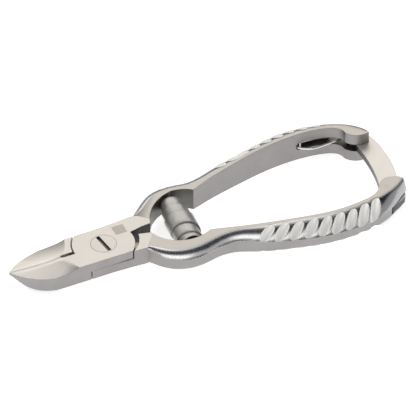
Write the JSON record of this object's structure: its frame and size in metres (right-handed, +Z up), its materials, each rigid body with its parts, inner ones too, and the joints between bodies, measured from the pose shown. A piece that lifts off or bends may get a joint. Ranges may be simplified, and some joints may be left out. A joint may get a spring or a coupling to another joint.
{
  "type": "nail nipper",
  "caption": "Lap-joint nail nipper with hollow-ground jaws, bowed handles with slanted grip grooves, a barrel spring between the bows and a swinging back lock.",
  "frame": {"origin": "centre of the footprint on the surface that the handles rest on", "axes": "+X from the jaws to the handle ends, +Y towards the half with the upper lap's handle, +Z up through the joint screw's slotted head"},
  "size_m": [0.1426, 0.0554, 0.0115],
  "materials": {
    "forged_steel": "satin flats and inner faces, polished bevels",
    "screw_steel": "satin, ground flush",
    "spring_steel": "matt rolled strip",
    "stud_steel": "turned",
    "clasp_steel": "satin",
    "pin_steel": "ground",
    "wire_steel": "bright drawn wire"
  },
  "bodies": {
    "half_a_body": {"half_a": "forged_steel", "spring_stud_a": "stud_steel", "barrel_spring": "spring_steel", "clasp_pin": "pin_steel", "wire_spring": "wire_steel", "wire_pin": "pin_steel"},
    "half_b_body": {"half_b": "forged_steel", "joint_screw": "screw_steel", "spring_stud_b": "stud_steel", "catch_pin": "pin_steel"},
    "clasp_body": {"lock_clasp": "clasp_steel"}
  },
  "joints": [
    {"name": "handle_hinge", "type": "hinge", "parent": "half_a_body", "child": "half_b_body", "pos_m": [-0.0372, 0, 0.00575], "axis": [0, 0, -1], "range_deg": [0, 14], "deforming": ["barrel_spring"]},
    {"name": "clasp_swing", "type": "hinge", "parent": "half_a_body", "child": "clasp_body", "pos_m": [0.0657, 0.0161, 0.00575], "axis": [0, 0, 1], "range_deg": [0, 56]}
  ],
  "couplings": [
    {"joint": "clasp_swing", "follows": "handle_hinge", "ratio": 4}
  ]
}
